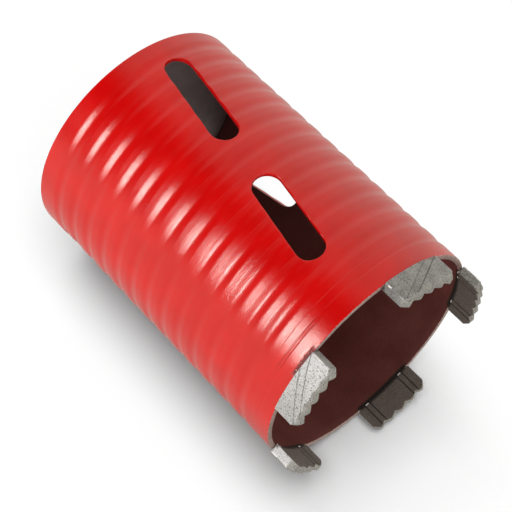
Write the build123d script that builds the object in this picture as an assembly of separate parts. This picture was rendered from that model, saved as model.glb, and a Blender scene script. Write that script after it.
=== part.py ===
from build123d import *
import os
from math import cos, degrees, radians, tan

# Dry diamond core bit for a power drill: a thin rolled tube, a back plate with a threaded boss
# and five sintered diamond segments welded round the tube's open rim.
# It stands on the end of its boss. +Z points along the axis towards the segments, and the
# origin is the middle of the boss's end face.

# Driving dimensions, in millimetres and degrees. A bearing is a turn about Z, from +X to +Y.
BARREL_DIAMETER = 105.0
BARREL_WALL = 2.2
BARREL_LENGTH = 144.0

FLUTE_PITCH = 9.6
FLUTE_DEPTH = 0.42
FLUTE_LAND = 3.6  # round strip left between two turns
FLUTE_FOOT_FLANK = 2.9  # axial width of the flank that faces the segments
FLUTE_BEARING = 15.5  # of the valley's first end
FLUTE_FOOT = 7.7  # height of that end above the plate end of the barrel
FLUTE_HEAD = 8.0  # valley's last end below the rim

SLOT_COLUMNS = 3
SLOT_BEARING = 84.0  # of the first column, at the middle of its low slot
SLOT_LEAN = 10.0  # away from the axis, in the sense of the flute
SLOT_WIDTH = 12.3
LOW_SLOT_FOOT = 10.8  # above the plate end of the barrel
LOW_SLOT_HEIGHT = 46.6
SLOT_BRIDGE = 19.9  # wall between the low and the high slot, along the axis
HIGH_SLOT_HEAD = 24.5  # wall between the high slot and the rim

PLATE_THICKNESS = 6.0
PLATE_CLEARANCE = 0.05  # all round, in the barrel
BOSS_DIAMETER = 34.0
BOSS_HEIGHT = 12.0
THREAD_MINOR_DIAMETER = 18.63  # female G 1/2 pipe thread, bored to its minor diameter
THREAD_MAJOR_DIAMETER = 20.96

SEGMENT_COUNT = 5
SEGMENT_BEARING = 73.0  # of the first segment's middle
SEGMENT_WIDTH = 29.0
SEGMENT_HEIGHT = 11.8
OUTER_SIDE_CLEARANCE = 1.0  # how far a segment stands proud of the barrel's outside
INNER_SIDE_CLEARANCE = 0.9  # and of its inside

TOOTH_COUNT = 5
TOOTH_DEPTH = 1.3
END_TOOTH_RUN = 2.5  # from the crest of the last tooth to the segment's end
END_TOOTH_DROP = 2.4  # how far the last tooth falls away over that run
CROWN_BEVEL_RUN = 1.2  # bevel along the outer edge of the teeth
CROWN_BEVEL_RISE = 1.6

WITNESS_GROOVE_DEPTH = 0.35  # leaning groove pressed into a segment's outer face
WITNESS_GROOVE_WIDTH = 3.0
WITNESS_GROOVE_LEAN = 26.0  # up from level
WITNESS_GROOVE_SHIFT = 1.7  # off the face's middle

# Sizes that follow from these.
BARREL_RADIUS = BARREL_DIAMETER / 2
BORE_RADIUS = BARREL_RADIUS - BARREL_WALL
PLATE_BACK = BOSS_HEIGHT
PLATE_FRONT = PLATE_BACK + PLATE_THICKNESS
RIM_HEIGHT = PLATE_BACK + BARREL_LENGTH
SEGMENT_OUTER_RADIUS = BARREL_RADIUS + OUTER_SIDE_CLEARANCE
SEGMENT_INNER_RADIUS = BORE_RADIUS - INNER_SIDE_CLEARANCE
CREST_HEIGHT = RIM_HEIGHT + SEGMENT_HEIGHT
TOOTH_PITCH = (SEGMENT_WIDTH - 2 * END_TOOTH_RUN) / (TOOTH_COUNT - 1)
CUT = 1.0  # how far a cutter runs past the surface that it leaves
SHALLOW_CUT = 0.02  # the same for the flute, whose turns lie close together


def flute_cutter():
    """Coiled wedge for the rolled groove: one start and right-handed."""
    climb = BARREL_LENGTH - FLUTE_FOOT - FLUTE_HEAD
    path = Helix(pitch=FLUTE_PITCH, height=climb, radius=BARREL_RADIUS)
    head_flank = FLUTE_PITCH - FLUTE_LAND - FLUTE_FOOT_FLANK
    widening = 1 + SHALLOW_CUT / FLUTE_DEPTH
    section = Polyline(
        (SHALLOW_CUT, FLUTE_FOOT_FLANK * widening),
        (-FLUTE_DEPTH, 0),
        (SHALLOW_CUT, -head_flank * widening),
        close=True,
    )
    across = Plane(origin=path @ 0, x_dir=(1, 0, 0), z_dir=path % 0)
    coil = sweep(make_face(across * section), path=path, is_frenet=True)
    return Rot(0, 0, FLUTE_BEARING) * Pos(0, 0, FLUTE_FOOT) * coil


def slot_cutter(column, foot, head):
    """Round-ended slot between two heights, on its column's leaning line."""
    middle = (foot + head) / 2
    lowest_middle = LOW_SLOT_FOOT + LOW_SLOT_HEIGHT / 2
    drift = (middle - lowest_middle) * tan(radians(SLOT_LEAN))
    bearing = SLOT_BEARING + 360 / SLOT_COLUMNS * column + degrees(drift / BARREL_RADIUS)
    length = (head - foot - SLOT_WIDTH) / cos(radians(SLOT_LEAN)) + SLOT_WIDTH
    outline = Plane.YZ * SlotOverall(length, SLOT_WIDTH, rotation=90 - SLOT_LEAN)
    cutter = extrude(outline, BARREL_RADIUS + CUT, dir=(1, 0, 0))
    return Rot(0, 0, bearing) * Pos(0, 0, middle) * cutter


def barrel():
    """Rolled tube with its flute and its columns of slots."""
    low_head = LOW_SLOT_FOOT + LOW_SLOT_HEIGHT
    high_foot = low_head + SLOT_BRIDGE
    high_head = BARREL_LENGTH - HIGH_SLOT_HEAD
    tube = extrude(Circle(BARREL_RADIUS) - Circle(BORE_RADIUS), BARREL_LENGTH)
    tube -= flute_cutter()
    for column in range(SLOT_COLUMNS):
        tube -= slot_cutter(column, LOW_SLOT_FOOT, low_head)
        tube -= slot_cutter(column, high_foot, high_head)
    return Pos(0, 0, PLATE_BACK) * tube


def hub():
    """Back plate and threaded boss, turned from one blank."""
    plate_radius = BORE_RADIUS - PLATE_CLEARANCE
    boss_radius = BOSS_DIAMETER / 2
    thread_radius = THREAD_MINOR_DIAMETER / 2
    mouth_radius = THREAD_MAJOR_DIAMETER / 2
    section = Polyline(
        (mouth_radius, 0),
        (boss_radius, 0),
        (boss_radius, PLATE_BACK),
        (plate_radius, PLATE_BACK),
        (plate_radius, PLATE_FRONT),
        (thread_radius, PLATE_FRONT),
        (thread_radius, mouth_radius - thread_radius),
        close=True,
    )
    return revolve(make_face(Plane.XZ * section), Axis.Z)


def crown_ring():
    """Ring that the segments are parts of, with the bevel along its outer edge."""
    section = Polyline(
        (SEGMENT_INNER_RADIUS, RIM_HEIGHT),
        (SEGMENT_OUTER_RADIUS, RIM_HEIGHT),
        (SEGMENT_OUTER_RADIUS, CREST_HEIGHT - CROWN_BEVEL_RISE),
        (SEGMENT_OUTER_RADIUS - CROWN_BEVEL_RUN, CREST_HEIGHT),
        (SEGMENT_INNER_RADIUS, CREST_HEIGHT),
        close=True,
    )
    return revolve(make_face(Plane.XZ * section), Axis.Z)


def tooth_comb():
    """Block with parallel ends and a toothed top, pushed out through the ring along +X."""
    half = SEGMENT_WIDTH / 2
    outline = [(half, RIM_HEIGHT), (-half, RIM_HEIGHT), (-half, CREST_HEIGHT - END_TOOTH_DROP)]
    for number in range(TOOTH_COUNT):
        crest = END_TOOTH_RUN - half + TOOTH_PITCH * number
        outline.append((crest, CREST_HEIGHT))
        outline.append((crest + TOOTH_PITCH / 2, CREST_HEIGHT - TOOTH_DEPTH))
    outline[-1] = (half, CREST_HEIGHT - END_TOOTH_DROP)
    profile = make_face(Plane.YZ * Polyline(*outline, close=True))
    return extrude(profile, SEGMENT_OUTER_RADIUS + CUT, dir=(1, 0, 0))


def witness_groove():
    """Cutter for the shallow leaning groove across a segment's outer face."""
    middle = RIM_HEIGHT + SEGMENT_HEIGHT / 2
    strip = Rectangle(2 * SEGMENT_WIDTH, WITNESS_GROOVE_WIDTH, rotation=WITNESS_GROOVE_LEAN)
    strip = Plane.YZ * Pos(WITNESS_GROOVE_SHIFT, middle) * strip
    band = extrude(strip, SEGMENT_OUTER_RADIUS + CUT, dir=(1, 0, 0))
    inside = extrude(Circle(SEGMENT_OUTER_RADIUS - WITNESS_GROOVE_DEPTH), 2 * CREST_HEIGHT)
    return band - inside


def segment(number):
    """One sintered segment in its place on the rim."""
    body = (tooth_comb() & crown_ring()) - witness_groove()
    return Rot(0, 0, SEGMENT_BEARING + 360 / SEGMENT_COUNT * number) * body


def main():
    os.makedirs("parts", exist_ok=True)
    export_step(barrel(), "parts/barrel.step")
    export_step(hub(), "parts/threaded_hub.step")
    for number in range(SEGMENT_COUNT):
        export_step(segment(number), f"parts/segment_{number + 1}.step")


main()
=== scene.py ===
import bmesh
import bpy
import numpy as np
from math import asin, ceil, cos, pi, radians, sin, tan
from mathutils import Matrix, Vector


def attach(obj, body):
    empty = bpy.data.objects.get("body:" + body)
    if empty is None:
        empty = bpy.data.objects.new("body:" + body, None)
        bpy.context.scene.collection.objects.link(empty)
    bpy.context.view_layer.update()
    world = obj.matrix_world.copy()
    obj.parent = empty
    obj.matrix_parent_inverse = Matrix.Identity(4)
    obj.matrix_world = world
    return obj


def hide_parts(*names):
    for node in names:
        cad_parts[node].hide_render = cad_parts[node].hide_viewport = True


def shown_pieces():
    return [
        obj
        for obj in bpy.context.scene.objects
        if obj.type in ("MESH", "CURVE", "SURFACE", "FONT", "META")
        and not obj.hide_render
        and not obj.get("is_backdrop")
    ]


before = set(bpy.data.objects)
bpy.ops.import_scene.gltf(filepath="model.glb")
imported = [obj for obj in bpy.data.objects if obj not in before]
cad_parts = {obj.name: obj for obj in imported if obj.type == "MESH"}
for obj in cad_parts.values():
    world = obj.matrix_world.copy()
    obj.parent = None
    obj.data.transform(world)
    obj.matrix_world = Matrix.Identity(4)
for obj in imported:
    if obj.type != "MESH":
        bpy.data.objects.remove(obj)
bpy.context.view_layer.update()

# Sizes in millimetres and degrees, as the workshop drawing has them. A bearing is a turn about
# the bit's axis, from +X to +Y. Heights on the barrel count from its plate end.
MM = 0.001
PLATE_BACK = 12.0
PLATE_FRONT = 18.0

BARREL_RADIUS = 52.5
BARREL_WALL = 2.2
BARREL_LENGTH = 144.0
RIM_HEIGHT = PLATE_BACK + BARREL_LENGTH
BORE_RADIUS = BARREL_RADIUS - BARREL_WALL

FLUTE = {
    "Barrel radius": BARREL_RADIUS,
    "Wall": BARREL_WALL,
    "Base height": PLATE_BACK,
    "Pitch": 9.6,
    "Depth": 0.42,
    "Foot flank": 2.9,
    "Head flank": 3.1,
    "Valley softness": 0.9,
    "Valley bearing": 15.5,
    "Valley foot": 7.7,
    "Turns": 13.42,
    "Run-out turns": 0.06,
    "Narrow from": 13.02,
    "Narrow to": 13.2,
    "Narrow share": 0.25,
    "Narrow rise": 1.15,
}

SLOT_WIDTH = 12.3
SLOT_LEAN = 10.0
SLOT_COLUMNS = 3
LOW_SLOT = {"bearing": 84.0, "foot": 10.8, "head": 57.4}
HIGH_SLOT = {"bearing": 96.374, "foot": 77.3, "head": 119.5}

SEGMENT_COUNT = 5
SEGMENT_BEARING = 73.0
SEGMENT = {
    "Outer radius": 53.5,
    "Foot height": RIM_HEIGHT,
    "Height": 11.8,
    "Tooth pitch": 6.0,
    "Tooth depth": 1.3,
    "Last crest": 12.0,
    "End run": 2.5,
    "End drop": 2.4,
    "Tooth reach": 3.6,
    "Groove lean": 26.0,
    "Groove shift": 1.7,
    "Groove width": 3.0,
    "Groove depth": 0.3,
    "Panel inner line": 8.0,
    "Panel outer line": 10.6,
    "Panel depth": 0.32,
    "Grain": 0.05,
}
SEGMENT_WIDTH = 29.0
SEGMENT_THICKNESS = 4.1
BEVEL_RUN = 1.2
BEVEL_RISE = 1.6

PLATE_RADIUS = 50.25
BOSS_RADIUS = 17.0
THREAD = {
    "Minor radius": 9.315,
    "Thread depth": 1.16,
    "Pitch": 1.814,
    "Mouth length": 1.2,
}

# Nets of the blanks that the pieces are shaped from.
SHARP_CORNER = 42.0  # faces that turn by more than this keep a sharp edge between them
COLUMNS = 144
ROW = 0.6
INSIDE_EVERY = 9  # rows of the outside to each row of the plain inside
FINE_FROM, FINE_TO, FINE_ROW = 134.5, 138.0, 0.125  # where the groove runs out
PATCH_COLUMNS = 6  # of the net that a slot takes up, each side of its middle
PATCH_MARGIN = 2.0
EDGE = 0.22  # rounding of the tube's edges
EDGE_ANGLES = (0, 30, 60, 90)
OPEN_STEPS = 7  # rings between the net and a slot's edge
OPEN_CROWDING = 1.25  # draws those rings towards the edge
SLOT_WALL_STEPS = 5
SEGMENT_SPACING = 0.26
SEGMENT_STATIONS = 190
SEGMENT_EDGE = 0.3
SEGMENT_EDGE_ANGLES = (0, 25, 50, 70, 90)
SEGMENT_CAP = (1.9, 1.5, 1.1, 0.7)  # insets of the rings across a segment's end
HUB_COLUMNS = 192
HUB_SPACING = 2.5
BORE_ROWS = 150

# Pressed forms of a segment, and the thread's flanks.
TOOTH_CURVE = 1.5
END_CURVE = 1.25
GROOVE_SIDE = (0.25, 0.05)  # before and past the groove's half width
PANEL_SIDE = (0.08, 0.4)
BATCH_SHIFT = 40.0  # parts the grain of one segment from the next one's
THREAD_FLANK = (0.12, 0.88)

# Base colours. The grain runs between the two of a pair.
PAINT = ((0.50, 0.0004, 0.0005), (0.57, 0.0008, 0.0008))
BROKEN_PAINT = (0.14, 0.002, 0.002)
# Painted shade in the creases where the groove runs out.
CREASE_SHADE = (0.30, 0.0, 0.0)
BARE_CHIP = (0.62, 0.50, 0.48)
COAT = ((0.125, 0.018, 0.016), (0.175, 0.036, 0.032))
COAT_SPECK = (0.06, 0.022, 0.02)
# Heat marks with painted shade, on the inside of the rim behind each segment.
HEAT_MARK_AND_SHADE = (0.006, 0.004, 0.004)
GROUND_RIM = ((0.27, 0.18, 0.172), (0.48, 0.345, 0.33))
PAINT_SHINE = (1.0, 1.0, 0.92, 1.0)
CHIP_ROUGHNESS = 0.6
SINTER = ((0.26, 0.247, 0.239), (0.36, 0.347, 0.340))
# Painted light: segments on the lamp's side of the bit are paler.
KEY_LIT_SINTER = (0.72, 0.712, 0.712)
SINTER_TIP = (0.42, 0.405, 0.37)
SINTER_PORE = (0.10, 0.095, 0.088)
SINTER_BACK = ((0.20, 0.158, 0.138), (0.10, 0.08, 0.072))
GRIT = (0.045, 0.043, 0.048)
# Painted shade in a segment's pressed creases and under its foot.
PRESSED_LINE_SHADE = (0.03, 0.026, 0.024)
# Painted highlight along a segment's end edges.
EDGE_HIGHLIGHT = (0.85, 0.83, 0.80)
# Weld beads with a painted glint.
WELD_GLINT = (0.88, 0.80, 0.80)
# Painted light: the plate's lit side, then its shaded side.
LIT_SIDE_STEEL = ((0.30, 0.25, 0.265), (0.36, 0.31, 0.32))
SHADED_SIDE_STEEL = ((0.15, 0.115, 0.118), (0.19, 0.15, 0.152))
STEEL_PORE = (0.07, 0.06, 0.06)
# Painted shade in the plate's corner by the barrel's wall.
PLATE_CORNER_SHADE = (0.012, 0.009, 0.009)

# Where the barrel's finish changes: each pair is where a change starts and where it is whole.
COAT_EDGE = (0.05, 0.35)  # out from the bore
RIM_EDGE = (0.2, 0.08)  # down from the rim
RIM_RAGGED = 0.0003  # in metres
DRAWN_STRETCH = 0.00003  # metres of drawn grain to each degree of bearing
EDGE_LINE_WIDTH = (0.05, 0.22)  # thin line along the groove's edge
EDGE_LINE_END = (133.5, 134.5)
EDGE_LINE_GROWTH = (20.0, 90.0)
END_LINES = (136.0, 137.3)  # heights of the two creases where the groove runs out
END_LINE_WIDTH = (0.1, 0.28)
END_LINE_BEARING = 132.0
END_LINE_REACH = (11.0, 17.0)
# Where the heat marks and painted shade lie behind the segments.
HEAT_SHADE_REACH = (14.5, 17.0)
HEAT_SHADE_DROP = (2.2, 0.9)  # down from the rim
CHIPS_BEARING = 135.0
CHIPS_REACH = (6.0, 9.0)
CHIPS_DROP = (2.6, 1.0)

# The same for a segment. Depths count from its outer face, and reaches from its middle.
OUTER_FACE = (0.25, 0.5)
INNER_FACE = (0.3, 0.1)  # before the inner face
TIP_DROP = (1.75, 1.35)  # down from the crests
# Painted light: where the paler segments on the lamp's side start.
KEY_LIT_FROM = (-0.02, 0.0)  # across the bit, in metres
# Where the painted highlight lies along the end edges.
EDGE_HIGHLIGHT_REACH = (14.1, 14.3)
EDGE_HIGHLIGHT_DEPTH = (0.35, 0.6)
LINE_WIDTH = (0.08, 0.3)
PANEL_LINE_WIDTH = (0.12, 0.32)
# Where painted shade falls under a segment's foot.
FOOT_CREASE_HEIGHT = (0.35, 1.3)
FOOT_CREASE_DEPTH = (2.5, 3.5)
FOOT_CREASE_REACH = (12.6, 13.4)
# Where the weld beads with their painted glint lie.
WELD_GLINT_HEIGHT = (0.45, 0.7)
WELD_GLINT_CORNER = (13.7, 13.9)
WELD_GLINT_PANEL = 9.4
WELD_GLINT_PANEL_REACH = (0.7, 0.9)
WELD_GLINT_DEPTH = (0.6, 0.4)  # before the inner face

# And for the hub.
# Painted light across the plate, from its shaded side to its lit side.
LIT_SIDE = (-20.0, 45.0)
LATHE_RINGS = 9000.0  # in radians to the metre
# Where the painted shade lies in the plate's corner.
CORNER_SHADE_INSET = (1.6, 0.6)  # in from the plate's edge

# The surface that the bit lies on: its upward direction, and the axis's height above it.
TABLE_UP = Vector((-0.0747, 0.9968, 0.0152)).normalized()
TABLE_DROP = 53.9
TABLE_REACH = 4.0
TABLE_PALENESS = 0.05
TABLE_LIGHT = 61.0
# Tilt aside, tilt towards the segments, breadth and share of each light.
TABLE_LIGHTS = (
    (8.0, 4.0, 46.0, 0.79),
    (12.0, 29.0, 40.0, 0.11),
    (-6.0, -26.0, 34.0, 0.16),
)
# Painted light: the table glows from here to the right.
TABLE_GLOW = (0.008, 0.05)  # from the axis to the right, in metres
GLOW_SHIFT = 0.01  # how much nearer it starts past the crown
GLOW_SHIFT_OVER = (0.08, 0.15)

# The studio: light by the height of its direction, from straight down to straight up.
STUDIO_STOPS = (
    (-1.0, 0.45), (-0.83, 0.85), (-0.55, 1.05), (-0.2, 1.35), (0.25, 1.6), (0.62, 1.3), (0.9, 0.9)
)
STUDIO_TINT = (1.0, 0.98, 0.9)
STUDIO_LIGHT = 0.75
DARK_CORNER = (-0.67, 0.37, 0.645)  # as the camera's right, up and backward shares
DARK_CORNER_EDGE = (0.695, 0.895)

# The camera's place, and its right, up and backward directions.
CAMERA_PLACE = Vector((-0.2446, 0.5186, 0.3326))
CAMERA_RIGHT = Vector((0.75268, 0.04638, 0.65676))
CAMERA_UP = Vector((0.53090, 0.54722, -0.64707))
CAMERA_BACK = Vector((-0.38941, 0.83572, 0.38725))
LENS = 106.15
SENSOR_WIDTH = 36.0

BIT_MIDDLE = Vector((0, 0, 0.084))
SOFT_BOX = {
    "way": (-0.714, 0.020, 0.687),
    "distance": 1.15,
    "width": 0.50,
    "height": 0.11,
    "power": 9.3,
}


# ---------------------------------------------------------------- node trees, written as sums

class Measure:
    """A number inside a node tree, worked with like any other number."""

    def __init__(self, tree, source):
        self.tree = tree
        self.source = source

    def work(self, operation, *others):
        return work(self.tree, operation, self, *others)

    def __add__(self, other):
        return self.work("ADD", other)

    def __radd__(self, other):
        return self.work("ADD", other)

    def __sub__(self, other):
        return self.work("SUBTRACT", other)

    def __rsub__(self, other):
        return work(self.tree, "SUBTRACT", other, self)

    def __mul__(self, other):
        return self.work("MULTIPLY", other)

    def __rmul__(self, other):
        return self.work("MULTIPLY", other)

    def __truediv__(self, other):
        return self.work("DIVIDE", other)

    def __pow__(self, other):
        return self.work("POWER", other)


def feed(tree, socket, item):
    """Sets an input to a plain value, or joins it to what a Measure or a socket gives."""
    source = item.source if isinstance(item, Measure) else item
    if isinstance(source, bpy.types.NodeSocket):
        tree.links.new(source, socket)
    else:
        socket.default_value = source


def work(tree, operation, *items):
    """One sum of numbers, Measures or both."""
    node = tree.nodes.new("ShaderNodeMath")
    node.operation = operation
    for socket, item in zip(node.inputs, items):
        feed(tree, socket, item)
    return Measure(tree, node.outputs[0])


def ease(value, low, high, start=0.0, end=1.0):
    """Runs smoothly from start to end while value goes from low to high."""
    node = value.tree.nodes.new("ShaderNodeMapRange")
    node.interpolation_type = "SMOOTHSTEP"
    names = ("Value", "From Min", "From Max", "To Min", "To Max")
    for name, item in zip(names, (value, low, high, start, end)):
        feed(value.tree, node.inputs[name], item)
    return Measure(value.tree, node.outputs[0])


def split(tree, vector):
    """The three shares of a vector."""
    node = tree.nodes.new("ShaderNodeSeparateXYZ")
    tree.links.new(vector, node.inputs[0])
    return [Measure(tree, share) for share in node.outputs]


def join_xyz(tree, *parts):
    node = tree.nodes.new("ShaderNodeCombineXYZ")
    for socket, part in zip(node.inputs, parts):
        feed(tree, socket, part)
    return node.outputs[0]


def noise(tree, vector, scale, detail=2.0, roughness=0.5):
    """Even random field, about 0.5 in the middle."""
    node = tree.nodes.new("ShaderNodeTexNoise")
    tree.links.new(vector, node.inputs["Vector"])
    feed(tree, node.inputs["Scale"], scale)
    node.inputs["Detail"].default_value = detail
    node.inputs["Roughness"].default_value = roughness
    return Measure(tree, node.outputs[0])


def grains(tree, vector, scale):
    """Distance from the nearest of many scattered points."""
    node = tree.nodes.new("ShaderNodeTexVoronoi")
    tree.links.new(vector, node.inputs["Vector"])
    node.inputs["Scale"].default_value = scale
    return Measure(tree, node.outputs["Distance"])


# ---------------------------------------------------------------- shaping with Geometry Nodes

class Shaping:
    """A Geometry Nodes tree that takes a blank, in millimetres, to its finished shape."""

    def __init__(self, name, sizes):
        self.tree = bpy.data.node_groups.new(name, "GeometryNodeTree")
        face = self.tree.interface
        face.new_socket("Blank", in_out="INPUT", socket_type="NodeSocketGeometry")
        face.new_socket("Shape", in_out="OUTPUT", socket_type="NodeSocketGeometry")
        self.keys = {}
        for size in sizes:
            socket = face.new_socket(size, in_out="INPUT", socket_type="NodeSocketFloat")
            self.keys[size] = socket.identifier
        self.given = self.tree.nodes.new("NodeGroupInput")
        position = self.tree.nodes.new("GeometryNodeInputPosition").outputs[0]
        self.position = position
        self.x, self.y, self.z = split(self.tree, position)
        self.shape = self.given.outputs["Blank"]

    def size(self, name):
        return Measure(self.tree, self.given.outputs[name])

    def place(self, x, y, z):
        """Moves each point to (x, y, z), given in millimetres, and notes where it was."""
        tree = self.tree
        scale = tree.nodes.new("ShaderNodeVectorMath")
        scale.operation = "SCALE"
        tree.links.new(join_xyz(tree, x, y, z), scale.inputs[0])
        scale.inputs["Scale"].default_value = MM
        note = tree.nodes.new("GeometryNodeStoreNamedAttribute")
        note.data_type = "FLOAT_VECTOR"
        note.inputs["Name"].default_value = "blank_place"
        tree.links.new(self.shape, note.inputs["Geometry"])
        tree.links.new(self.position, note.inputs["Value"])
        self.shape = note.outputs[0]
        node = tree.nodes.new("GeometryNodeSetPosition")
        tree.links.new(self.shape, node.inputs["Geometry"])
        tree.links.new(scale.outputs[0], node.inputs["Position"])
        self.shape = node.outputs[0]

    def close(self, material):
        """Ends the tree with plain geometry and its material."""
        tree = self.tree
        real = tree.nodes.new("GeometryNodeRealizeInstances")
        tree.links.new(self.shape, real.inputs[0])
        paint = tree.nodes.new("GeometryNodeSetMaterial")
        paint.inputs["Material"].default_value = material
        tree.links.new(real.outputs[0], paint.inputs["Geometry"])
        out = tree.nodes.new("NodeGroupOutput")
        tree.links.new(paint.outputs[0], out.inputs["Shape"])
        return self

    def make(self, name, blank, sizes):
        """Runs the tree on a blank mesh and gives the finished piece as a plain mesh."""
        rough = bpy.data.objects.new(name + "_blank", blank)
        bpy.context.scene.collection.objects.link(rough)
        modifier = rough.modifiers.new("Shaping", "NODES")
        modifier.node_group = self.tree
        for size, value in sizes.items():
            modifier[self.keys[size]] = float(value)
        graph = bpy.context.evaluated_depsgraph_get()
        mesh = bpy.data.meshes.new_from_object(rough.evaluated_get(graph), depsgraph=graph)
        bpy.data.objects.remove(rough)
        return finish_piece(name, mesh)


def finish_piece(name, mesh):
    """Turns every face outwards, shades it smoothly but for its sharp corners, and places it."""
    work_mesh = bmesh.new()
    work_mesh.from_mesh(mesh)
    bmesh.ops.recalc_face_normals(work_mesh, faces=work_mesh.faces)
    work_mesh.to_mesh(mesh)
    work_mesh.free()
    mesh.shade_smooth()
    mesh.set_sharp_from_angle(angle=radians(SHARP_CORNER))
    piece = bpy.data.objects.new(name, mesh)
    mesh.name = name
    bpy.context.scene.collection.objects.link(piece)
    return piece


# ---------------------------------------------------------------- blanks

def rounded_loop(corners, spacing):
    """Points round a closed outline of (x, y, corner radius) corners, a spacing apart."""
    count = len(corners)
    points = []
    for number, (x, y, radius) in enumerate(corners):
        here = np.array((x, y))
        before = np.array(corners[number - 1][:2]) - here
        after = np.array(corners[(number + 1) % count][:2]) - here
        before_way = before / np.linalg.norm(before)
        after_way = after / np.linalg.norm(after)
        if radius:
            steps = 4
            for step in range(steps + 1):
                share = step / steps
                points.append(
                    here
                    + before_way * radius * (1 - share) ** 2
                    + after_way * radius * share**2
                )
        else:
            points.append(here)
    filled = []
    for number, point in enumerate(points):
        following = points[(number + 1) % len(points)]
        gap = following - point
        parts = max(1, ceil(np.linalg.norm(gap) / spacing - 0.01))
        filled += [point + gap * part / parts for part in range(parts)]
    return np.array(filled)


def mesh_from(name, points, faces):
    mesh = bpy.data.meshes.new(name)
    mesh.from_pydata([tuple(p) for p in points], [], faces)
    mesh.validate()
    return mesh


def grid_faces(rows, columns, wrap_rows=True, wrap_columns=True):
    """Four-cornered faces of a net of points numbered row by row."""
    faces = []
    for row in range(rows if wrap_rows else rows - 1):
        above = (row + 1) % rows
        for column in range(columns if wrap_columns else columns - 1):
            beside = (column + 1) % columns
            faces.append(
                (
                    row * columns + column,
                    row * columns + beside,
                    above * columns + beside,
                    above * columns + column,
                )
            )
    return faces


def heights_of_rows(fine):
    """Heights of the net's rows on one side of the wall; fine is for the grooved outside."""
    low, high = slot_patch_rows(LOW_SLOT), slot_patch_rows(HIGH_SLOT)
    rows = []
    for step in range(1, int(BARREL_LENGTH / ROW)):
        height = step * ROW
        near_slot = low[0] <= height <= low[1] or high[0] <= height <= high[1]
        if fine or near_slot or step % INSIDE_EVERY == 0:
            rows.append(height)
    if fine:
        rows += list(np.arange(FINE_FROM + FINE_ROW, FINE_TO, FINE_ROW))
    return sorted(set(np.round(rows, 4)))


def slot_patch_rows(slot):
    """Lowest and highest row of the patch of the net that a slot takes up."""
    return (
        np.floor((slot["foot"] - PATCH_MARGIN) / ROW) * ROW,
        np.ceil((slot["head"] + PATCH_MARGIN) / ROW) * ROW,
    )


def slot_patch_columns(bearing):
    """First and last column of that patch."""
    middle = round(bearing / 360 * COLUMNS)
    return middle - PATCH_COLUMNS, middle + PATCH_COLUMNS


def barrel_blank():
    """The tube's wall as (bearing in radians, depth below the outside, height), with its slots."""
    outside, inside = (
        [h for h in heights_of_rows(fine) if EDGE < h < BARREL_LENGTH - EDGE]
        for fine in (True, False)
    )
    edge = [(EDGE * (1 - sin(a)), EDGE * (1 - cos(a))) for a in np.radians(EDGE_ANGLES)]
    stations = [(0.0, h, "out") for h in [EDGE] + outside]
    stations += [(d, BARREL_LENGTH - h, "rim") for h, d in edge]
    stations += [(BARREL_WALL - d, BARREL_LENGTH - h, "rim") for h, d in reversed(edge)]
    stations += [(BARREL_WALL, h, "in") for h in reversed(inside)]
    stations += [(BARREL_WALL - d, h, "foot") for h, d in edge]
    stations += [(d, h, "foot") for h, d in reversed(edge)][:-1]
    points = [(2 * pi * c / COLUMNS, d, h) for d, h, _ in stations for c in range(COLUMNS)]
    taken = set()
    rings = []
    for slot in (LOW_SLOT, HIGH_SLOT):
        foot, head = (round(h, 4) for h in slot_patch_rows(slot))
        for number in range(SLOT_COLUMNS):
            bearing = slot["bearing"] + 360 / SLOT_COLUMNS * number
            first, last = slot_patch_columns(bearing)
            loops = []
            for side in ("out", "in"):
                rows = [
                    row
                    for row, (_, height, where) in enumerate(stations)
                    if where == side and foot <= round(height, 4) <= head
                ]
                rows.sort(key=lambda r: stations[r][1])
                low, high = rows[0], rows[-1]
                for row in rows[:-1]:
                    lower = row if side == "out" else row - 1
                    taken.update((lower, c % COLUMNS) for c in range(first, last))
                loop = [(low, c) for c in range(first, last)]
                loop += [(r, last) for r in rows[:-1]]
                loop += [(high, c) for c in range(last, first, -1)]
                loop += [(r, first) for r in reversed(rows[1:])]
                loops.append(loop)
            rings.append((slot, bearing, loops))
    faces = [
        face
        for number, face in enumerate(grid_faces(len(stations), COLUMNS))
        if (number // COLUMNS, number % COLUMNS) not in taken
    ]
    for slot, bearing, loops in rings:
        open_slot(points, faces, stations, slot, bearing, loops)
    return used_only("barrel_blank", points, faces)


def used_only(name, points, faces):
    """A mesh of the faces, without the points that none of them has."""
    kept = sorted({p for face in faces for p in face})
    number = {old: new for new, old in enumerate(kept)}
    faces = [tuple(number[p] for p in face) for face in faces]
    return mesh_from(name, [points[p] for p in kept], faces)


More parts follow.
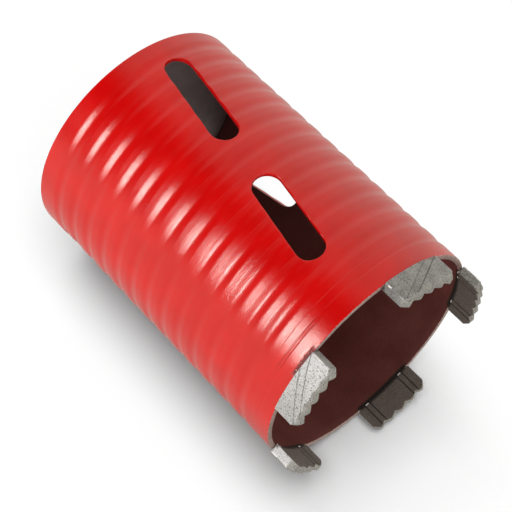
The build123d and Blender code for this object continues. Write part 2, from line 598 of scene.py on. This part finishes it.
def open_slot(points, faces, stations, slot, bearing, loops):
    """Fills the net round one slot, rolls the net over its edges and lines its wall."""
    half = (slot["head"] - slot["foot"] - SLOT_WIDTH) / 2 / cos(radians(SLOT_LEAN))
    along = np.array((sin(radians(SLOT_LEAN)), cos(radians(SLOT_LEAN))))
    middle = (slot["foot"] + slot["head"]) / 2
    radius = SLOT_WIDTH / 2
    ways = []
    for row, column in loops[0]:
        turn = 2 * pi * column / COLUMNS - radians(bearing)
        place = np.array((BARREL_RADIUS * sin(turn), stations[row][1] - middle))
        nearest = along * np.clip(place @ along, -half, half)
        reach = np.linalg.norm(place - nearest)
        ways.append((nearest, (place - nearest) / reach, reach))
    shares = (np.arange(OPEN_STEPS) / OPEN_STEPS) ** OPEN_CROWDING
    lip = [
        (radius + EDGE * (1 - sin(a)), EDGE * (1 - cos(a))) for a in np.radians(EDGE_ANGLES[1:])
    ]
    plan = [("skin", 0.0, share) for share in reversed(shares)]
    plan += [("lip", depth, reach) for reach, depth in lip]
    wall = np.linspace(EDGE, BARREL_WALL - EDGE, SLOT_WALL_STEPS)[1:-1]
    plan += [("lip", depth, radius) for depth in wall]
    plan += [("lip", BARREL_WALL - depth, reach) for reach, depth in reversed(lip)]
    plan += [("skin", BARREL_WALL, share) for share in shares]
    previous = [row * COLUMNS + column % COLUMNS for row, column in loops[0]]
    for kind, depth, amount in plan:
        ring = []
        for nearest, way, reach in ways:
            distance = amount if kind == "lip" else radius + EDGE + (reach - radius - EDGE) * amount
            place = nearest + way * distance
            ring.append(len(points))
            turn = asin(place[0] / (BARREL_RADIUS - depth))
            points.append((radians(bearing) + turn, depth, middle + place[1]))
        faces += ring_faces(previous, ring)
        previous = ring
    faces += ring_faces(previous, [row * COLUMNS + column % COLUMNS for row, column in loops[1]])


def ring_faces(outer, inner):
    """Four-cornered faces between two rings with the same number of points."""
    count = len(outer)
    return [
        (outer[i], outer[(i + 1) % count], inner[(i + 1) % count], inner[i]) for i in range(count)
    ]


def segment_blank():
    """Straight block as (tangential, depth below the outer face, height), its edges eased."""
    loop = rounded_loop(
        (
            (0, 0, 0.1),
            (0, SEGMENT["Height"] - BEVEL_RISE, 0.3),
            (BEVEL_RUN, SEGMENT["Height"], 0.4),
            (SEGMENT_THICKNESS, SEGMENT["Height"], 0.35),
            (SEGMENT_THICKNESS, 0, 0.1),
        ),
        SEGMENT_SPACING,
    )
    corner = [
        (SEGMENT_EDGE * (1 - cos(a)), SEGMENT_EDGE * (1 - sin(a)))
        for a in np.radians(SEGMENT_EDGE_ANGLES)
    ]
    cap = [(0.0, inset) for inset in SEGMENT_CAP] + corner
    half = SEGMENT_WIDTH / 2
    inner = half - SEGMENT_EDGE
    body = np.linspace(-inner, inner, SEGMENT_STATIONS)
    stations = [(-half + run, inset) for run, inset in cap]
    stations += [(y, 0.0) for y in body[1:-1]]
    stations += [(half - run, inset) for run, inset in reversed(cap)]
    middle = np.array((SEGMENT_THICKNESS / 2, SEGMENT["Height"] / 2))
    points = []
    for y, inset in stations:
        for point in loop:
            depth, height = middle + (point - middle) * (1 - inset / middle)
            points.append((y, depth, height))
    count = len(loop)
    faces = grid_faces(len(stations), count, wrap_rows=False)
    faces.append(tuple(range(count)))
    faces.append(tuple(range((len(stations) - 1) * count, len(stations) * count))[::-1])
    return mesh_from("segment_blank", points, faces)


def hub_blank():
    """Turned plate and boss as (bearing in radians, radius, height), its bore in fine rows."""
    mouth = THREAD["Minor radius"] + THREAD["Thread depth"]
    outline = rounded_loop(
        (
            (mouth, 0, 0.1),
            (BOSS_RADIUS - 1.0, 0, 0.15),
            (BOSS_RADIUS, 1.0, 0.15),
            (BOSS_RADIUS, PLATE_BACK - 1.2, 0),
            (BOSS_RADIUS + 0.35, PLATE_BACK - 0.35, 0),
            (BOSS_RADIUS + 1.2, PLATE_BACK, 0),
            (PLATE_RADIUS, PLATE_BACK, 0.3),
            (PLATE_RADIUS, PLATE_FRONT, 0.3),
            (THREAD["Minor radius"], PLATE_FRONT, 0.1),
        ),
        HUB_SPACING,
    )
    bore = np.linspace(PLATE_FRONT - 0.1, THREAD["Thread depth"], BORE_ROWS)[1:]
    section = [tuple(p) for p in outline] + [(THREAD["Minor radius"], h) for h in bore]
    points = [(2 * pi * c / HUB_COLUMNS, r, h) for r, h in section for c in range(HUB_COLUMNS)]
    return mesh_from("hub_blank", points, grid_faces(len(section), HUB_COLUMNS))


# ---------------------------------------------------------------- shapings

def rolled_barrel(material):
    """Rolls the flute into the wall and bends the blank round the axis."""
    job = Shaping("rolled_barrel", FLUTE)
    bearing, depth, height = job.x, job.y, job.z
    pitch = job.size("Pitch")
    turn = (bearing - job.size("Valley bearing") * (pi / 180)) / (2 * pi)
    turn = turn - turn.work("FLOOR")
    climbed = (height - job.size("Valley foot")) / pitch - turn
    count = (climbed + 0.5).work("FLOOR")
    run = count + turn
    narrowing = ease(run, job.size("Narrow from"), job.size("Narrow to"))
    share = 1.0 - narrowing * (1.0 - job.size("Narrow share"))
    above = ((climbed - count) * pitch - job.size("Narrow rise") * narrowing) / share
    up = (above / job.size("Head flank")).work("MAXIMUM", 0.0)
    down = (above / job.size("Foot flank")).work("MINIMUM", 0.0)
    away = up - down
    soft_valley = job.size("Valley softness") / job.size("Foot flank")
    softened = (away * away + soft_valley * soft_valley) ** 0.5 - soft_valley
    full = (soft_valley * soft_valley + 1.0) ** 0.5 - soft_valley
    profile = (1.0 - softened / full).work("MAXIMUM", 0.0) * share
    soft = job.size("Run-out turns")
    window = ease(run, 0.0 - soft, soft)
    window = window * (1.0 - ease(run, job.size("Turns") - soft, job.size("Turns") + soft))
    press = job.size("Depth") * profile * window * (1.0 - depth / job.size("Wall"))
    radius = job.size("Barrel radius") - depth - press
    job.place(
        radius * bearing.work("COSINE"),
        radius * bearing.work("SINE"),
        height + job.size("Base height"),
    )
    return job.close(material)


def pressed_segment(material):
    """Teeth, bevel, leaning groove and back panel, pressed in a block bent to the barrel."""
    job = Shaping("pressed_segment", {**SEGMENT, "Bearing": 0, "Batch": 0})
    along, depth, height = job.x, job.y, job.z
    away = along.work("ABSOLUTE")
    pitch = job.size("Tooth pitch")
    place = along / pitch + 0.5
    from_crest = (place - place.work("FLOOR") - 0.5).work("ABSOLUTE") * 2.0
    drop = job.size("Tooth depth") * from_crest**TOOTH_CURVE
    past_last = (away - job.size("Last crest")).work("MAXIMUM", 0.0) / job.size("End run")
    drop = drop.work("MAXIMUM", job.size("End drop") * past_last**END_CURVE)
    reach = job.size("Tooth reach")
    lift = ((height - job.size("Height") + reach) / reach).work("MAXIMUM", 0.0)
    toothed = height - drop * lift
    lean = job.size("Groove lean") * (pi / 180)
    across = (height - job.size("Height") / 2.0) * lean.work("COSINE")
    across = across - (along - job.size("Groove shift")) * lean.work("SINE")
    half_groove = job.size("Groove width") / 2.0
    before, past = GROOVE_SIDE
    groove = 1.0 - ease(across.work("ABSOLUTE"), half_groove - before, half_groove + past)
    outer_face = 1.0 - ease(depth, 0.0, 0.5)
    lines = 0.0
    for line in ("Panel inner line", "Panel outer line"):
        gap = (away - job.size(line)).work("ABSOLUTE")
        lines = lines + (1.0 - ease(gap, *PANEL_SIDE))
    inner_face = ease(depth, SEGMENT_THICKNESS - 0.5, SEGMENT_THICKNESS)
    shift = join_xyz(job.tree, job.x + job.size("Batch") * BATCH_SHIFT, job.y, job.z)
    grain = (noise(job.tree, shift, scale=1.6, detail=3.0, roughness=0.6) - 0.5) * 2.0
    sink = job.size("Groove depth") * groove * outer_face
    sink = sink - job.size("Panel depth") * lines * inner_face
    rough = job.size("Grain") * (grain + 0.6)
    sink = sink + rough * outer_face - rough * inner_face
    ring = job.size("Outer radius") - depth - sink
    out = (ring * ring - along * along).work("SQRT")
    bearing = job.size("Bearing") * (pi / 180)
    cosine, sine = bearing.work("COSINE"), bearing.work("SINE")
    roughened = toothed - job.size("Grain") * (grain + 0.8).work("MAXIMUM", 0.0) * lift
    job.place(
        out * cosine - along * sine,
        out * sine + along * cosine,
        roughened + job.size("Foot height"),
    )
    return job.close(material)


def cut_hub(material):
    """Cuts the thread in the boss's bore and bends the turned blank round the axis."""
    job = Shaping("cut_hub", THREAD)
    bearing, radius, height = job.x, job.y, job.z
    turns = height / job.size("Pitch") - bearing / (2 * pi)
    phase = (turns - turns.work("FLOOR") - 0.5).work("ABSOLUTE") * 2.0
    groove = ease(phase, *THREAD_FLANK)
    in_bore = 1.0 - ease(radius, job.size("Minor radius") + 0.001, job.size("Minor radius") + 0.002)
    past_mouth = ease(height, job.size("Mouth length"), job.size("Mouth length") + 0.4)
    deeper = radius + groove * in_bore * past_mouth * job.size("Thread depth")
    job.place(deeper * bearing.work("COSINE"), deeper * bearing.work("SINE"), height)
    return job.close(material)


# ---------------------------------------------------------------- finishes

def new_finish(name):
    """A material with one surface shader, and the object's own coordinates to place its parts."""
    material = bpy.data.materials.new(name)
    material.use_nodes = True
    tree = material.node_tree
    tree.nodes.clear()
    out = tree.nodes.new("ShaderNodeOutputMaterial")
    shader = tree.nodes.new("ShaderNodeBsdfPrincipled")
    tree.links.new(shader.outputs[0], out.inputs["Surface"])
    place = tree.nodes.new("ShaderNodeTexCoord").outputs["Object"]
    return material, tree, shader, place


def blend_colours(tree, share, first, second):
    """Goes from the first colour to the second. Each is a plain colour or a socket."""
    node = tree.nodes.new("ShaderNodeMix")
    node.data_type = "RGBA"
    feed(tree, node.inputs["Factor"], share)
    # The node's two colour inputs come after those for its other kinds of value.
    for socket, colour in ((node.inputs[6], first), (node.inputs[7], second)):
        if isinstance(colour, tuple):
            socket.default_value = (*colour, 1.0)
        else:
            tree.links.new(colour, socket)
    return node.outputs[2]


def blend_numbers(share, first, second):
    return first + share * (second - first)


def relief(tree, shader, height, distance, strength=1.0):
    """Fine relief that is too small for the mesh. distance is in metres."""
    node = tree.nodes.new("ShaderNodeBump")
    node.inputs["Strength"].default_value = strength
    node.inputs["Distance"].default_value = distance
    feed(tree, node.inputs["Height"], height)
    tree.links.new(node.outputs[0], shader.inputs["Normal"])


def barrel_finish():
    """Glossy red paint outside and in the slots, a thin dark coat inside, a bare ground rim.
    Painted shade darkens the creases where the groove runs out; heat marks and painted shade darken
    the inside of the rim behind each segment.
    """
    material, tree, shader, place = new_finish("barrel_finish")
    x, y, z = split(tree, place)
    radius = (x * x + y * y) ** 0.5
    height = z / MM - PLATE_BACK
    bearing = y.work("ARCTAN2", x) * (180 / pi)
    bearing = bearing + (1.0 - ease(bearing, -0.01, 0.01)) * 360.0
    coarse = noise(tree, place, scale=60.0, detail=4.0, roughness=0.55)
    fine = noise(tree, place, scale=900.0, detail=3.0, roughness=0.6)
    speck = noise(tree, place, scale=1900.0, detail=2.0, roughness=0.65)
    inside = 1.0 - ease(radius, *((BORE_RADIUS + out) * MM for out in COAT_EDGE))
    ragged = (fine - 0.5) * RIM_RAGGED
    rim = ease(z + ragged, *((RIM_HEIGHT - down) * MM for down in RIM_EDGE))
    red = blend_colours(tree, ease(coarse, 0.3, 0.75), *PAINT)
    dark = blend_colours(tree, ease(coarse, 0.3, 0.7), *COAT)
    dark = blend_colours(tree, ease(speck, 0.45, 0.7) * 0.8, dark, COAT_SPECK)
    steel = blend_colours(tree, ease(fine, 0.3, 0.7), *GROUND_RIM)
    chips = chipped_edge(tree, place, bearing, height)
    red = blend_colours(tree, chips, red, BROKEN_PAINT)
    bare = ease(noise(tree, place, scale=1500.0, detail=2.0, roughness=0.6), 0.62, 0.68) * chips
    red = blend_colours(tree, bare, red, BARE_CHIP)
    creases = end_creases(bearing, height)
    # Painted shade in the end creases.
    red = blend_colours(tree, creases * 0.7, red, CREASE_SHADE)
    # Heat marks and painted shade behind each segment.
    dark = blend_colours(tree, scorch_and_shade(bearing, height), dark, HEAT_MARK_AND_SHADE)
    colour = blend_colours(tree, inside, red, dark)
    colour = blend_colours(tree, rim, colour, steel)
    feed(tree, shader.inputs["Base Color"], colour)
    gloss = 0.20 + 0.06 * coarse
    dull = 0.5 + 0.15 * coarse
    roughness = blend_numbers(inside, gloss, dull)
    roughness = blend_numbers(chips, roughness, CHIP_ROUGHNESS)
    ground = 0.34 + 0.12 * fine
    feed(tree, shader.inputs["Roughness"], blend_numbers(rim, roughness, ground))
    feed(tree, shader.inputs["Metallic"], rim * 0.8)
    shader.inputs["Specular Tint"].default_value = PAINT_SHINE
    edge = groove_edge(bearing, height, 1.0 - inside)
    stretched = join_xyz(tree, z, bearing * DRAWN_STRETCH, radius)
    drawn = noise(tree, stretched, scale=1500.0, detail=2.0, roughness=0.6)
    peel = coarse * 0.12 + speck * 0.7 + drawn * 0.4
    edge = edge + creases * 0.9
    relief(tree, shader, peel - edge * 0.8 - chips * 0.6, distance=0.00012, strength=0.6)
    return material


def groove_edge(bearing, height, outside):
    """Thin line along the groove's edge, clearer towards the rim."""
    pitch = FLUTE["Pitch"]
    turns = (height - FLUTE["Valley foot"] + FLUTE["Foot flank"]) / pitch
    turns = turns - (bearing - FLUTE["Valley bearing"]) / 360.0
    off_edge = (0.5 - (turns - turns.work("FLOOR") - 0.5).work("ABSOLUTE")) * pitch
    line = (1.0 - ease(off_edge, *EDGE_LINE_WIDTH)) * outside
    return line * (1.0 - ease(height, *EDGE_LINE_END)) * ease(height, *EDGE_LINE_GROWTH, 0.15, 1.0)


def end_creases(bearing, height):
    """Two thin creases beside each other, over the last stretch of the rolled groove. The paint in
    them is darkened with painted shade.
    """
    first, second = ((height - line).work("ABSOLUTE") for line in END_LINES)
    stretch = 1.0 - ease((bearing - END_LINE_BEARING).work("ABSOLUTE"), *END_LINE_REACH)
    return (1.0 - ease(first.work("MINIMUM", second), *END_LINE_WIDTH)) * stretch


def scorch_and_shade(bearing, height):
    """Heat marks and painted shade on the inside of the rim, behind each welded segment and under
    its inward step.
    """
    pitch = 360.0 / SEGMENT_COUNT
    place = (bearing - SEGMENT_BEARING) / pitch + 0.5
    aside = (place - place.work("FLOOR") - 0.5).work("ABSOLUTE") * pitch
    by_rim = ease(height, *(BARREL_LENGTH - down for down in HEAT_SHADE_DROP))
    return (1.0 - ease(aside, *HEAT_SHADE_REACH)) * by_rim


def chipped_edge(tree, place, bearing, height):
    """Where the paint is broken, over a short stretch of the rim beside one segment."""
    stretch = 1.0 - ease((bearing - CHIPS_BEARING).work("ABSOLUTE"), *CHIPS_REACH)
    flakes = noise(tree, place, scale=1400.0, detail=3.0, roughness=0.7)
    band = ease(height, *(BARREL_LENGTH - down for down in CHIPS_DROP))
    return stretch * ease(band * 0.35 + flakes, 0.66, 0.72)


def segment_finish():
    """Pressed and sintered metal: grainy grey, with dark grit. Painted light makes the segments on
    the lamp's side paler and puts highlights on the end edges and glints on the weld beads; painted
    shade darkens the pressed lines and the foot.
    """
    material, tree, shader, place = new_finish("segment_finish")
    own = tree.nodes.new("ShaderNodeAttribute")
    own.attribute_name = "blank_place"
    along, depth, height = split(tree, own.outputs["Vector"])
    away = along.work("ABSOLUTE")
    cloud = noise(tree, place, scale=220.0, detail=4.0, roughness=0.6)
    fine = noise(tree, place, scale=2200.0, detail=3.0, roughness=0.7)
    distance = grains(tree, place, scale=1100.0)
    outer = 1.0 - ease(depth, *OUTER_FACE)
    inner = ease(depth, *(SEGMENT_THICKNESS - before for before in INNER_FACE))
    tip = ease(height, *(SEGMENT["Height"] - down for down in TIP_DROP))
    colour = blend_colours(tree, ease(cloud, 0.3, 0.7), *SINTER)
    # Painted light: the segments on the lamp's side are paler.
    key_lit_side = ease(split(tree, place)[0], *KEY_LIT_FROM, 1.0, 0.0)
    colour = blend_colours(tree, key_lit_side * (0.4 - 0.3 * tip), colour, KEY_LIT_SINTER)
    rough_tip = ease(noise(tree, place, scale=800.0, detail=2.0, roughness=0.6), 0.42, 0.6)
    colour = blend_colours(tree, tip * (0.2 + 0.35 * rough_tip), colour, SINTER_TIP)
    colour = blend_colours(tree, ease(fine, 0.48, 0.68) * 0.8, colour, SINTER_PORE)
    gritty = ease(noise(tree, place, scale=700.0, detail=1.0, roughness=0.5), 0.46, 0.54)
    grit = (1.0 - ease(distance, 0.18, 0.3)) * gritty
    colour = blend_colours(tree, grit * 0.9, colour, GRIT)
    lines = pressed_line_shade(along, depth, height, outer, inner)
    back = blend_colours(tree, ease(fine, 0.35, 0.7), *SINTER_BACK)
    colour = blend_colours(tree, inner * 0.85, colour, back)
    # Painted shade in the pressed creases and under the foot.
    colour = blend_colours(tree, lines * 0.85, colour, PRESSED_LINE_SHADE)
    # Painted highlight, broken, along the end edges of the outer face.
    edge_highlight = ease(away, *EDGE_HIGHLIGHT_REACH) * (1.0 - ease(depth, *EDGE_HIGHLIGHT_DEPTH))
    edge_highlight = edge_highlight * ease(noise(tree, place, scale=500.0, detail=2.0, roughness=0.5), 0.44, 0.5)
    colour = blend_colours(tree, edge_highlight * 0.8, colour, EDGE_HIGHLIGHT)
    # Weld beads, given a painted glint.
    weld_glint = weld_glints(away, depth, height)
    colour = blend_colours(tree, weld_glint, colour, WELD_GLINT)
    tree.links.new(colour, shader.inputs["Base Color"])
    feed(tree, shader.inputs["Metallic"], 0.65 - 0.3 * inner - 0.3 * weld_glint)
    feed(tree, shader.inputs["Roughness"], 0.5 + 0.2 * fine)
    raised = fine * 1.2 + cloud * 0.4 - grit - lines * 1.2
    relief(tree, shader, raised, distance=0.00012, strength=0.8)
    return material


def pressed_line_shade(along, depth, height, outer, inner):
    """Painted shade in the creases: both sides of the leaning strip, the back panel's grooves and
    under the foot.
    """
    lean = radians(SEGMENT["Groove lean"])
    across = (height - SEGMENT["Height"] / 2) * cos(lean)
    across = across - (along - SEGMENT["Groove shift"]) * sin(lean)
    half = SEGMENT["Groove width"] / 2
    strong = 1.0 - ease((across - half).work("ABSOLUTE"), *LINE_WIDTH)
    faint = 1.0 - ease((across + half).work("ABSOLUTE"), *LINE_WIDTH)
    lines = (strong * 0.75 + faint * 0.4) * outer
    away = along.work("ABSOLUTE")
    for line in ("Panel inner line", "Panel outer line"):
        gap = (away - SEGMENT[line]).work("ABSOLUTE")
        lines = lines + (1.0 - ease(gap, *PANEL_LINE_WIDTH)) * inner
    foot = (1.0 - ease(height, *FOOT_CREASE_HEIGHT)) * ease(depth, *FOOT_CREASE_DEPTH)
    foot = foot * (1.0 - ease(away, *FOOT_CREASE_REACH))
    return (lines + foot).work("MINIMUM", 1.0)


def weld_glints(away, depth, height):
    """Weld beads at a segment's foot, at its corners and by the panel's grooves, with a painted
    glint.
    """
    low = 1.0 - ease(height, *WELD_GLINT_HEIGHT)
    corner = ease(away, *WELD_GLINT_CORNER)
    panel = 1.0 - ease((away - WELD_GLINT_PANEL).work("ABSOLUTE"), *WELD_GLINT_PANEL_REACH)
    back = ease(depth, *(SEGMENT_THICKNESS - before for before in WELD_GLINT_DEPTH))
    return (corner + panel).work("MINIMUM", 1.0) * low * back


def hub_finish():
    """Turned steel, dulled grey-brown, with the lathe's fine rings. Painted light makes it lighter
    on one side, and painted shade darkens the corner by the barrel's wall.
    """
    material, tree, shader, place = new_finish("hub_finish")
    x, y, z = split(tree, place)
    radius = (x * x + y * y) ** 0.5
    cloud = noise(tree, place, scale=90.0, detail=5.0, roughness=0.6)
    fine = noise(tree, place, scale=1500.0, detail=3.0, roughness=0.6)
    rings = ((radius + z) * LATHE_RINGS + cloud * 3.0).work("SINE") * 0.5 + 0.5
    # Painted light: lighter on one side of the plate, shaded on the other.
    pale = blend_colours(tree, ease(cloud, 0.3, 0.7), *LIT_SIDE_STEEL)
    dull = blend_colours(tree, ease(cloud, 0.3, 0.7), *SHADED_SIDE_STEEL)
    colour = blend_colours(tree, ease(y, *(edge * MM for edge in LIT_SIDE)), dull, pale)
    colour = blend_colours(tree, ease(fine, 0.6, 0.85) * 0.5, colour, STEEL_PORE)
    # Painted shade in the corner by the barrel's wall.
    corner = ease(radius, *((PLATE_RADIUS - inset) * MM for inset in CORNER_SHADE_INSET))
    colour = blend_colours(tree, corner * 0.9, colour, PLATE_CORNER_SHADE)
    tree.links.new(colour, shader.inputs["Base Color"])
    shader.inputs["Metallic"].default_value = 0.75
    feed(tree, shader.inputs["Roughness"], 0.4 + 0.15 * fine + 0.1 * rings)
    relief(tree, shader, rings * 0.5 + fine * 0.5, distance=0.00005, strength=0.6)
    return material


# ---------------------------------------------------------------- the object

def build_object():
    """The barrel, the hub and the five segments, each in place of its solid."""
    barrel = rolled_barrel(barrel_finish()).make("barrel_rolled", barrel_blank(), FLUTE)
    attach(barrel, "root")
    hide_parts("barrel")

    hub = cut_hub(hub_finish()).make("hub_turned", hub_blank(), THREAD)
    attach(hub, "root")
    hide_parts("threaded_hub")

    pressing = pressed_segment(segment_finish())
    for number in range(SEGMENT_COUNT):
        bearing = SEGMENT_BEARING + 360 / SEGMENT_COUNT * number
        sizes = {**SEGMENT, "Bearing": bearing, "Batch": number}
        piece = pressing.make(f"segment_{number + 1}_sintered", segment_blank(), sizes)
        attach(piece, "root")
        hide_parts(f"segment_{number + 1}")


# ---------------------------------------------------------------- studio

def build_floor():
    """The pale surface that the bit lies on, with the bit's shadow. It is seen from above only."""
    side = TABLE_REACH
    corners = [(-side, -side, 0), (side, -side, 0), (side, side, 0), (-side, side, 0)]
    floor = bpy.data.objects.new("floor", mesh_from("floor", corners, [(0, 1, 2, 3)]))
    right = TABLE_UP.cross(Vector((0, 0, 1))).normalized()
    turn = Matrix((right, TABLE_UP.cross(right), TABLE_UP)).transposed().to_4x4()
    floor.matrix_world = Matrix.Translation(TABLE_UP * -TABLE_DROP * MM) @ turn
    bpy.context.scene.collection.objects.link(floor)
    material = bpy.data.materials.new("pale_table")
    material.use_nodes = True
    tree = material.node_tree
    tree.nodes.clear()
    out = tree.nodes.new("ShaderNodeOutputMaterial")
    pale = tree.nodes.new("ShaderNodeBsdfDiffuse")
    pale.inputs["Color"].default_value = (TABLE_PALENESS, TABLE_PALENESS, TABLE_PALENESS, 1.0)
    clear = tree.nodes.new("ShaderNodeBsdfTransparent")
    under = tree.nodes.new("ShaderNodeNewGeometry").outputs["Backfacing"]
    mix = tree.nodes.new("ShaderNodeMixShader")
    place = tree.nodes.new("ShaderNodeTexCoord").outputs["Object"]
    # The table glows on its right: painted light that keeps the bit's shadow off that side.
    glow = tree.nodes.new("ShaderNodeEmission")
    lit = tree.nodes.new("ShaderNodeMixShader")
    aside, behind, _ = split(tree, place)
    aside = aside - ease(behind * -1.0, *GLOW_SHIFT_OVER, 0.0, GLOW_SHIFT)
    feed(tree, lit.inputs[0], ease(aside, *TABLE_GLOW))
    tree.links.new(pale.outputs[0], lit.inputs[1])
    tree.links.new(glow.outputs[0], lit.inputs[2])
    tree.links.new(under, mix.inputs[0])
    tree.links.new(lit.outputs[0], mix.inputs[1])
    tree.links.new(clear.outputs[0], mix.inputs[2])
    tree.links.new(mix.outputs[0], out.inputs["Surface"])
    floor.data.materials.append(material)
    floor.visible_diffuse = False
    floor.visible_glossy = False
    floor.visible_transmission = False
    floor.visible_shadow = False
    floor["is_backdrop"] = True
    table = bpy.data.collections.new("table")
    table.objects.link(floor)
    for number, light in enumerate(TABLE_LIGHTS):
        build_table_light(f"table_light_{number + 1}", *light, table)


def build_table_light(name, aside, along, angle, share, table):
    """A broad light for the table alone, tilted aside and along the bit's axis."""
    data = bpy.data.lights.new(name, "SUN")
    data.energy = TABLE_LIGHT * share
    data.angle = radians(angle)
    lamp = bpy.data.objects.new(name, data)
    left = Vector((0, 0, 1)).cross(TABLE_UP).normalized()
    ahead = TABLE_UP.cross(left)
    way = TABLE_UP + left * tan(radians(aside)) + ahead * tan(radians(along))
    lamp.rotation_mode = "QUATERNION"
    lamp.rotation_quaternion = way.to_track_quat("Z", "Y")
    bpy.context.scene.collection.objects.link(lamp)
    lamp.light_linking.receiver_collection = table


def in_view(way):
    """A direction given as the camera's right, up and backward shares."""
    return (CAMERA_RIGHT * way[0] + CAMERA_UP * way[1] + CAMERA_BACK * way[2]).normalized()


def facing(tree, way, direction):
    """How far two directions agree: 1 if they are the same and -1 if they are opposite."""
    dot = tree.nodes.new("ShaderNodeVectorMath")
    dot.operation = "DOT_PRODUCT"
    tree.links.new(way, dot.inputs[0])
    dot.inputs[1].default_value = direction
    return Measure(tree, dot.outputs["Value"])


def build_world():
    """White to the eye. For the light, brightest round the sides and dark in one corner."""
    world = bpy.data.worlds.new("studio")
    world.use_nodes = True
    bpy.context.scene.world = world
    tree = world.node_tree
    tree.nodes.clear()
    out = tree.nodes.new("ShaderNodeOutputWorld")
    way = tree.nodes.new("ShaderNodeTexCoord").outputs["Generated"]
    level = facing(tree, way, TABLE_UP)
    ramp = tree.nodes.new("ShaderNodeValToRGB")
    ramp.color_ramp.interpolation = "EASE"
    while len(ramp.color_ramp.elements) < len(STUDIO_STOPS):
        ramp.color_ramp.elements.new(0.5)
    for element, (height, light) in zip(ramp.color_ramp.elements, STUDIO_STOPS):
        element.position = height * 0.5 + 0.5
        element.color = (*(light * tint for tint in STUDIO_TINT), 1.0)
    feed(tree, ramp.inputs[0], level * 0.5 + 0.5)
    studio = tree.nodes.new("ShaderNodeBackground")
    tree.links.new(ramp.outputs[0], studio.inputs["Color"])
    shade = ease(facing(tree, way, in_view(DARK_CORNER)), *DARK_CORNER_EDGE, 1.0, 0.0)
    feed(tree, studio.inputs["Strength"], shade * STUDIO_LIGHT)
    paper = tree.nodes.new("ShaderNodeBackground")
    paper.inputs["Color"].default_value = (1, 1, 1, 1)
    paper.inputs["Strength"].default_value = 1.0
    seen = tree.nodes.new("ShaderNodeLightPath").outputs["Is Camera Ray"]
    mix = tree.nodes.new("ShaderNodeMixShader")
    tree.links.new(seen, mix.inputs[0])
    tree.links.new(studio.outputs[0], mix.inputs[1])
    tree.links.new(paper.outputs[0], mix.inputs[2])
    tree.links.new(mix.outputs[0], out.inputs["Surface"])


def build_camera():
    data = bpy.data.cameras.new("camera")
    data.lens = LENS
    data.sensor_width = SENSOR_WIDTH
    camera = bpy.data.objects.new("camera", data)
    turn = Matrix((CAMERA_RIGHT, CAMERA_UP, CAMERA_BACK)).transposed()
    camera.matrix_world = Matrix.Translation(CAMERA_PLACE) @ turn.to_4x4()
    bpy.context.scene.collection.objects.link(camera)
    bpy.context.scene.camera = camera


def build_lamp(name, way, distance, width, height, power):
    """Soft box that faces the middle of the bit. way is in the camera's right, up and back."""
    towards = in_view(way)
    data = bpy.data.lights.new(name, "AREA")
    data.shape = "RECTANGLE"
    data.size = width
    data.size_y = height
    data.energy = power
    lamp = bpy.data.objects.new(name, data)
    lamp.location = BIT_MIDDLE + towards * distance
    lamp.rotation_mode = "QUATERNION"
    across = Vector((0, 0, 1)).cross(towards).normalized()
    turn = Matrix((across, towards.cross(across), towards)).transposed()
    lamp.rotation_quaternion = turn.to_quaternion()
    bpy.context.scene.collection.objects.link(lamp)
    lamp.light_linking.receiver_collection = lit_pieces()


def lit_pieces():
    """The object's own pieces: the lamps' hard shadows stay off the table."""
    name = "bit_pieces"
    if name not in bpy.data.collections:
        group = bpy.data.collections.new(name)
        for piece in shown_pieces():
            group.objects.link(piece)
    return bpy.data.collections[name]


build_object()
build_floor()
build_world()
build_camera()
build_lamp("soft_box", **SOFT_BOX)
bpy.context.scene.view_settings.view_transform = "Standard"
